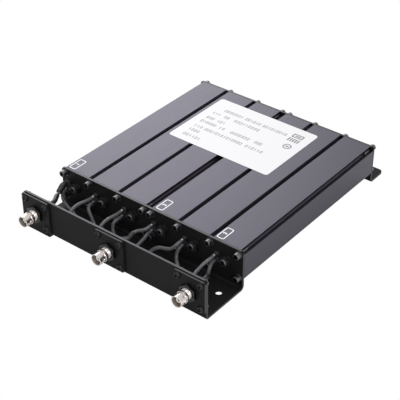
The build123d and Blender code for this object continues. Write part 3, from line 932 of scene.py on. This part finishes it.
    def sleeve(self, index: int, pair: float, cable: str) -> None:
        """Builds the heat-shrink sleeve over a jack's crimp, with the neck that runs on over one cable.

        Args:
            index: The jack's number.
            pair: Half the distance between two cables that leave side by side, or 0 for one.
            cable: The cable that the neck covers.
        """
        node = f"jack_sleeve_{index}"
        harness = Harness()
        route = harness.points(cable)
        crimp_end = route[-1].y
        centre = Vector((route[-1].x - pair, crimp_end, route[-1].z))
        outer, wall, neck = self.crimp + self.sleeve_cover, self.sleeve_wall, harness.neck
        grip = self.sleeve_grip
        profile = [
            (outer - wall, -grip), (outer - wall / 4, -grip), (outer, wall - grip),
            (outer - self.sleeve_waist, -grip / 2), (outer, -2 * wall), (outer - wall / 2, -wall / 2),
            (neck + wall, 2 * wall), (neck, 3 * wall), (neck - wall, 3 * wall),
            (neck - wall, 0.0), (outer - wall, -wall),
        ]
        bm = lathe(profile, centre, closed=True, steps=36)
        for vert in bm.verts:
            drawn = min(1.0, max(0.0, (vert.co.y - crimp_end + wall) / (2 * wall)))
            side = max(-1.0, min(1.0, (vert.co.x - centre.x) / neck))
            vert.co.x += drawn * pair * side
        stretch = [(route[-4] + route[-3]) / 2, *route[-3:]]
        tube = harness.tube(f"{node}_neck", stretch, neck, SHRINK)
        flat = evaluated(tube)
        bm.from_mesh(flat)
        bpy.data.meshes.remove(flat)
        bpy.data.objects.remove(tube)
        finished(bm, f"{node}_shrunk", [SHRINK], (node,), crease=math.radians(70))

    def build(self) -> None:
        """Builds every port."""
        for index in range(1, self.count + 1):
            self.body(index)
            self.insides(index)
        self.sleeve(1, 0.0, "cable_port_1")
        self.sleeve(2, PAIR * MM, "cable_4_to_port_2")
        self.sleeve(3, 0.0, "cable_6_to_port_3")
        self.fasteners()


# The wiring bay


# Routes of the cables in millimetres, between their straight ends: X, distance ahead of the end plate, Z
TAP, CRIMP = 4.0, 30.5
UPPER, LOWER, JACK = 24.5, 19.5, 21.3
PAIR = 1.85
ROUTES = {
    "cable_port_1": [
        (-88.17, 7.2, UPPER), (-87.6, 10.8, 21.8), (-86.4, 15.0, 20.4), (-83.6, 19.8, 21.4),
        (-80.0, 25.0, JACK),
    ],
    "cable_1_to_2": [
        (-88.17, 6.8, LOWER), (-87.9, 9.0, 14.8), (-85.0, 10.0, 10.2), (-77.8, 10.8, 7.0),
        (-69.8, 12.6, 5.4), (-63.0, 16.2, 5.0), (-58.2, 22.2, 5.4), (-56.2, 27.8, 8.2),
        (-55.8, 31.6, 13.4), (-56.2, 32.6, 19.6), (-57.2, 29.6, 24.6), (-57.6, 22.8, 25.8),
        (-57.2, 15.8, 25.4), (-56.5, 10.2, UPPER),
    ],
    "cable_2_to_3": [
        (-56.5, 7.8, LOWER), (-55.2, 11.6, 17.8), (-51.2, 13.6, 14.4), (-47.0, 14.8, 9.8),
        (-41.8, 17.0, 6.0), (-35.4, 22.6, 5.2), (-30.2, 27.8, 7.6), (-27.0, 31.8, 12.2),
        (-25.6, 32.4, 18.4), (-25.2, 28.6, 23.8), (-25.0, 21.4, 25.8), (-24.83, 12.0, UPPER),
    ],
    "cable_3_to_port_2": [
        (-24.83, 8.2, LOWER), (-26.6, 12.8, 17.0), (-25.2, 15.2, 11.8), (-21.4, 16.8, 7.4),
        (-15.8, 18.2, 5.4), (-9.6, 19.2, 7.4), (-5.2, 20.0, 12.0), (-2.9, 21.6, 17.0),
        (-PAIR, 25.9, JACK),
    ],
    "cable_4_to_port_2": [
        (6.83, 6.8, UPPER), (5.6, 10.0, 23.2), (3.6, 13.6, 23.6), (2.4, 17.8, 24.6), (1.95, 22.2, 23.6),
        (PAIR, 26.4, JACK),
    ],
    "cable_4_to_5": [
        (6.83, 8.4, LOWER), (8.0, 14.2, 18.0), (8.6, 20.4, 17.4), (8.8, 26.0, 16.6), (9.0, 30.4, 14.6),
        (10.0, 32.4, 10.6), (11.8, 31.4, 6.8), (13.8, 27.6, 5.4), (15.4, 23.4, 7.4), (16.8, 20.0, 10.6),
        (19.2, 17.4, 14.4), (24.4, 15.2, 17.8), (30.4, 14.2, 18.4), (35.0, 13.0, 19.6),
        (37.6, 10.6, 22.8), (38.5, 7.6, UPPER),
    ],
    "cable_5_to_6": [
        (38.5, 6.8, LOWER), (37.8, 9.2, 16.6), (38.2, 11.2, 12.6), (41.2, 13.8, 8.6), (46.8, 17.0, 6.0),
        (53.6, 20.4, 5.4), (59.6, 24.6, 5.8), (64.0, 27.8, 7.4), (66.8, 29.8, 10.8), (67.6, 29.2, 15.0),
        (67.2, 25.0, 17.8), (66.8, 19.6, 18.8), (68.0, 14.2, 22.0), (70.17, 9.8, UPPER),
    ],
    "cable_6_to_port_3": [
        (70.17, 7.0, LOWER), (71.4, 10.2, 18.4), (73.0, 13.8, 17.4), (75.0, 17.4, 17.8),
        (77.2, 21.0, 19.4), (79.2, 24.2, 21.0), (80.0, 27.6, JACK),
    ],
}


@dataclass
class Harness:
    """Thin coax of the wiring bay, soldered to the taps and crimped to the jacks."""

    cable: float = 1.4 * MM
    neck: float = 2.1 * MM
    tap_sleeve: float = 2.65 * MM
    ferrule: float = 1.8 * MM
    solder_start: float = 0.2 * MM
    solder_end: float = 1.4 * MM
    solder_shoulder: Couple = (-0.05 * MM, -0.15 * MM)
    solder_fillet: Couple = (0.08 * MM, 0.03 * MM)
    front_face: float = -93.5
    resolution: int = 12
    sides: int = 6

    def points(self, name: str) -> list[Vector]:
        """Lists a cable's points in metres, with its straight ends.

        Args:
            name: The cable's CAD node.

        Returns:
            The points, from a tap to another tap or to a jack's crimp.
        """
        route = ROUTES[name]
        last = route[-1]
        end = CRIMP if last[2] == JACK else TAP
        whole = [(route[0][0], TAP, route[0][2]), *route, (last[0], end, last[2])]
        return [Vector((x, self.front_face - ahead, z)) * MM for x, ahead, z in whole]

    def tube(self, name: str, route: list[Vector], radius: float, finish: Finish) -> bpy.types.Object:
        """Runs a round tube along a smooth curve.

        Args:
            name: The piece's name.
            route: Its points.
            radius: The tube's radius.
            finish: What it is made of.

        Returns:
            The curve's object.
        """
        curve = bpy.data.curves.new(name, "CURVE")
        curve.dimensions = "3D"
        curve.bevel_depth = radius
        curve.bevel_resolution = self.sides
        curve.resolution_u = self.resolution
        curve.use_fill_caps = True
        spline = curve.splines.new("NURBS")
        spline.points.add(len(route) - 1)
        for target, point in zip(spline.points, route):
            target.co = (*point, 1.0)
        spline.order_u = 3
        spline.use_endpoint_u = True
        curve.materials.append(finish.material())
        piece = add_object(name, curve)
        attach(piece, ROOT)
        log.info("%s: tube of %.1f mm along %d points", name, 2 * radius / MM, len(route))
        return piece

    def solder_joints(self, ends: list[Vector]) -> None:
        """Builds the solder around each cable where it meets its tap.

        Args:
            ends: The ends of the cables at the taps.
        """
        start, end = self.solder_start, self.solder_end
        inset, shoulder = self.solder_shoulder
        root = self.ferrule + inset
        middle, tip = (self.cable + skin for skin in self.solder_fillet)
        inner = [(0.0, start), (root, start), (root, shoulder)]
        profile = [*inner, (middle, -0.5 * end), (tip, -end), (0.0, -end)]
        bm = lathe(profile, Vector(), steps=24)
        finished(spread(bm, ends), "tap_solder", [SOLDER], crease=math.radians(60))

    def build(self) -> None:
        """Builds the cables, the sleeve over the first one and the solder at the taps."""
        ends = []
        for name in ROUTES:
            route = self.points(name)
            piece = self.tube(f"{name}_coax", route, self.cable, JACKET)
            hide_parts(name)
            ends += [end for end in (route[0], route[-1]) if end.y > route[1].y and end.y > route[-2].y]
        self.solder_joints(ends)
        route = self.points("cable_port_1")
        stretch = [*route[:3], (route[2] + route[3]) / 2]
        piece = self.tube("tap_sleeve_shrunk", stretch, self.tap_sleeve, SHRINK)
        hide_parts("tap_sleeve")


# The label's print in millimetres: where each word starts and ends along X, for each row's place along Y
WORDS = {
    64.4: [(-43, -22), (-20, -3), (-1, 25)],
    55.4: [(-50, -41), (-37, -31), (-26, 2)],
    46.1: [(-50, -41), (-38, -29)],
    38.0: [(-50, -33), (-30, -23), (-17, 4), (9, 17)],
    28.2: [(-50, -40), (-38, 3), (6, 25)],
    20.8: [(-50, -38)],
    11.7: [(-49, -30)],
}
# Frame, stripes and ring at its right: x, y, width, length, corner radius, and the line's width or 0
SYMBOLS = [
    (34.4, 68.3, 11.0, 6.0, 0.8, 1.3),
    (34.4, 68.3, 6.0, 1.6, 0.4, 0.0),
    *((29.6 + 2.4 * k, 60.9, 1.5, 5.6, 0.2, 0.0) for k in range(5)),
    (35.6, 49.5, 8.0, 8.0, 3.9, 1.2),
    (35.6, 49.5, 3.6, 1.8, 0.4, 0.0),
]


@dataclass
class Print:
    """The label, with frames and bars in place of its letters, and the numbered marks of the ports."""

    ink: float = 0.02 * MM
    bar: float = 4.0 * MM
    letter: float = 3.0
    stroke: float = 0.55 * MM
    blot: float = 0.3 * MM
    line: float = 0.8 * MM
    mark_width: float = 7.0 * MM
    mark_length: float = 15.0 * MM
    mark_corner: float = 1.6 * MM
    mark_y: float = -82.6 * MM
    mark_x: tuple[float, ...] = (-86.5 * MM, 8.7 * MM, 69.7 * MM)
    digit: float = 4.6 * MM
    boldness: float = 0.16 * MM
    seed: int = 11
    widths: tuple[float, ...] = (0.25, 0.6, 0.7, 0.75)
    heights: Couple = (0.85, 1.0)

    def slab(self, bm: BMesh, centre: Vector, size: Couple, corner: float, line: float) -> None:
        """Adds a thin slab of ink with rounded corners, solid or as an outline.

        Args:
            bm: The bmesh that gets the slab.
            centre: The middle of its underside.
            size: Its width along X and its length along Y.
            corner: The radius of its corners.
            line: The width of its outline, or 0 for a solid slab.
        """
        place = Matrix.Translation(centre) @ Matrix.Diagonal((size[0], size[1], 1.0, 1.0))
        before = set(bm.verts)
        bmesh.ops.create_grid(bm, x_segments=1, y_segments=1, size=0.5, matrix=place)
        made = [vert for vert in bm.verts if vert not in before]
        bevel(bm, made, corner, 5, "VERTICES")
        faces = [face for face in bm.faces if not before.intersection(face.verts)]
        faces = [face for face in faces if abs(face.calc_center_median().z - centre.z) < MERGE]
        faces = [min(faces, key=lambda face: (face.calc_center_median() - centre).length)]
        if line:
            inset = bmesh.ops.inset_individual(bm, faces=faces, thickness=line, use_even_offset=True)
            bmesh.ops.delete(bm, geom=faces, context="FACES_ONLY")
            faces = inset["faces"]
        self.lift(bm, faces)

    def lift(self, bm: BMesh, faces: list[BMFace]) -> None:
        """Gives flat faces the thickness of ink.

        Args:
            bm: The bmesh that the faces are in.
            faces: The faces, which stay as the underside.
        """
        lifted = bmesh.ops.extrude_face_region(bm, geom=faces, use_keep_orig=True)["geom"]
        verts = [item for item in lifted if isinstance(item, BMVert)]
        bmesh.ops.translate(bm, verts=verts, vec=(0, 0, self.ink))

    def label(self) -> None:
        """Builds the label's sheet and what is printed on it."""
        shape = SheetMetal(edge=0.05 * MM).softened("label")
        finished(shape, "label_sheet", [PAPER], ("label",))
        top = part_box("label")[1].z
        bm = bmesh.new()
        chance = random.Random(self.seed)
        for y, start, end in [(y, *word) for y, row in WORDS.items() for word in row]:
            count = round((end - start) / self.letter)
            for k in range(count):
                middle = start + (k + 0.5) * (end - start) / count
                width = self.letter * chance.choice(self.widths)
                size = (width * MM, self.bar * chance.uniform(*self.heights))
                line = self.stroke if width > 0.5 * self.letter else 0.0
                self.slab(bm, Vector((middle * MM, y * MM, top)), size, self.blot, line)
        for x, y, width, length, corner, line in SYMBOLS:
            centre = Vector((x * MM, y * MM, top))
            self.slab(bm, centre, (width * MM, length * MM), corner * MM, line * MM)
        finished(bm, "label_print", [GREY_INK])

    def mark(self, number: int, x: float, height: float) -> None:
        """Prints one port's outline with its number on the top face.

        Args:
            number: The port's number.
            x: The middle of the mark.
            height: The top face of the extrusions.
        """
        bm = bmesh.new()
        centre = Vector((x, self.mark_y, height))
        self.slab(bm, centre, (self.mark_width, self.mark_length), self.mark_corner, self.line)
        text = bpy.data.curves.new("digit", "FONT")
        text.body = str(number)
        text.size = self.digit
        text.align_x, text.align_y = "CENTER", "CENTER"
        text.offset = self.boldness
        writing = add_object("digit", text)
        flat = evaluated(writing)
        flat.transform(Matrix.Translation(centre) @ Matrix.Rotation(math.pi / 2, 4, "Z"))
        before = set(bm.faces)
        bm.from_mesh(flat)
        self.lift(bm, [face for face in bm.faces if face not in before])
        bpy.data.objects.remove(writing)
        bpy.data.curves.remove(text)
        bpy.data.meshes.remove(flat)
        finished(bm, f"port_mark_{number}", [WHITE_INK])

    def build(self) -> None:
        """Builds the label and the marks."""
        self.label()
        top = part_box("left_extrusion")[1].z
        for number, x in enumerate(self.mark_x, start=1):
            self.mark(number, x, top)


@dataclass(frozen=True)
class Softbox:
    """A rectangular softbox.

    Args:
        name: Its name.
        place: Where it hangs.
        target: The point that it faces.
        size: Its width and height.
        power: Its light in watts.
    """

    name: str
    place: Triple
    target: Triple
    size: Couple
    power: float

    def build(self) -> None:
        """Adds the light."""
        data = bpy.data.lights.new(self.name, "AREA")
        data.shape = "RECTANGLE"
        data.size, data.size_y = self.size
        data.energy = self.power
        light = add_object(self.name, data)
        light.location = self.place
        light.rotation_mode = "QUATERNION"
        light.rotation_quaternion = (Vector(self.target) - Vector(self.place)).to_track_quat("-Z", "Y")


SOFTBOXES = (
    Softbox("back softbox", (-1.25, 0.94, 0.86), (-0.04, 0.0, 0.03), (1.2, 0.8), 12.2),
    Softbox("top softbox", (0.0, -0.2, 1.4), (0.0, 0.0, 0.0), (1.2, 1.2), 6.5),
    Softbox("side softbox", (1.2, -0.9, 0.7), (0.0, -0.1, 0.02), (0.7, 0.7), 6.0),
)


@dataclass
class Studio:
    """Camera, soft lights and the white table of the product shot."""

    eye: Triple = (0.4907, -0.6452, 0.5618)
    look: Triple = (-0.5084, 0.6412, -0.5748)
    lens: float = 102.2
    sensor: float = 36.0
    far: float = 20.0
    table: float = 6.0
    table_gap: float = 0.2 * MM
    paper: tuple[float, float, float, float] = (0.8, 0.8, 0.8, 1.0)
    sky: float = 0.7

    def camera(self) -> None:
        """Sets the camera at the photograph's viewing angle."""
        data = bpy.data.cameras.new("studio_camera")
        data.lens = self.lens
        data.sensor_width = self.sensor
        data.clip_end = self.far
        camera = add_object("studio_camera", data)
        camera.location = self.eye
        camera.rotation_mode = "QUATERNION"
        camera.rotation_quaternion = Vector(self.look).to_track_quat("-Z", "Y")
        bpy.context.scene.camera = camera

    def white_to_camera(self, lit: bpy.types.Node, plain: str, output: str) -> None:
        """Lets the camera see plain white where all other rays meet a shader.

        Args:
            lit: The shader, in the node tree of the world or of a material.
            plain: The type of node that gives the white.
            output: The type of the tree's output node.
        """
        tree = lit.id_data
        seen = add_node(tree, "ShaderNodeLightPath").outputs["Is Camera Ray"]
        white = add_node(tree, plain, {"Color": WHITE, "Strength": 1.0})
        mix = add_node(tree, "ShaderNodeMixShader", {0: seen, 1: lit.outputs[0], 2: white.outputs[0]})
        add_node(tree, output, {"Surface": mix.outputs[0]})

    def surroundings(self) -> None:
        """Adds the pale table and the soft sky, which the camera sees as plain white."""
        world = bpy.data.worlds.new("studio")
        bpy.context.scene.world = world
        paper = bpy.data.materials.new("white paper")
        for owner in (world, paper):
            owner.use_nodes = True
            owner.node_tree.nodes.clear()
        sky = add_node(world.node_tree, "ShaderNodeBackground", {"Color": WHITE, "Strength": self.sky})
        self.white_to_camera(sky, "ShaderNodeBackground", "ShaderNodeOutputWorld")
        matt = add_node(paper.node_tree, "ShaderNodeBsdfDiffuse", {"Color": self.paper})
        self.white_to_camera(matt, "ShaderNodeEmission", "ShaderNodeOutputMaterial")
        bm = bmesh.new()
        bmesh.ops.create_grid(bm, x_segments=1, y_segments=1, size=self.table / 2)
        mesh = bpy.data.meshes.new("table")
        bm.to_mesh(mesh)
        bm.free()
        mesh.materials.append(paper)
        table = add_object("table", mesh)
        table.location = (0, 0, -self.table_gap)

    def build(self) -> None:
        """Sets up the shot."""
        view = bpy.context.scene.view_settings
        view.view_transform = "Standard"
        view.look = "None"
        self.camera()
        self.surroundings()
        for softbox in SOFTBOXES:
            softbox.build()


def main() -> None:
    """Builds the whole scene around the frame."""
    logging.basicConfig(level=logging.INFO, format="%(name)s: %(message)s")
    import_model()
    screws = EndScrews("front_end_screws", -1), EndScrews("rear_end_screws", 1)
    for part in (Studio(), SheetMetal(), *screws, Tuning(), Ports(), Harness(), Print()):
        part.build()


if __name__ == "__main__":
    main()
